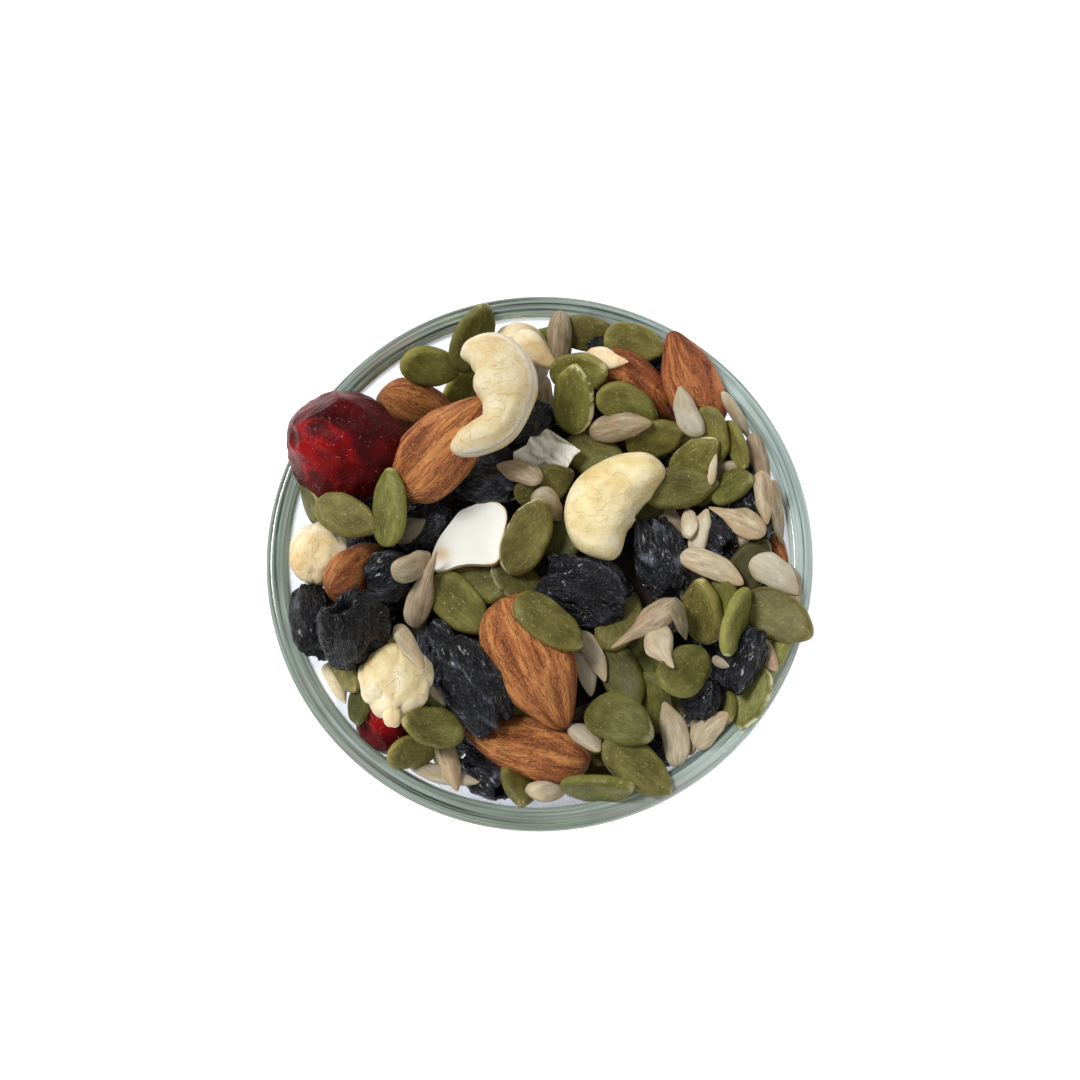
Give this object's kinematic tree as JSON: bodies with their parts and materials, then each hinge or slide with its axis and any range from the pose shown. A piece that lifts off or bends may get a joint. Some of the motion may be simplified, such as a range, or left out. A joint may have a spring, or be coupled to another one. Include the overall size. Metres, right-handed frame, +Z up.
{
  "type": "bowl of trail mix",
  "caption": "Small round clear glass bowl with a flared wall and thick lip, heaped with trail mix: almonds, cashews, raisins, dried cranberries, pumpkin seeds and sunflower seeds.",
  "frame": {"origin": "middle of the bowl's flat underside", "axes": "+Z up along the bowl's axis, +X to the right and +Y to the back as the bowl is seen from its front"},
  "size_m": [0.104, 0.104, 0.0602],
  "materials": {
    "glass": "thick clear glass with a faint grey-green tint, smooth and glossy",
    "mix": "dry nuts, seeds and dried fruit: brown almond skin, cream cashew, olive-green pumpkin seed, dark wrinkled raisin, deep red cranberry"
  },
  "bodies": {
    "root": {"bowl": "glass", "trail_mix": "mix"}
  },
  "joints": []
}
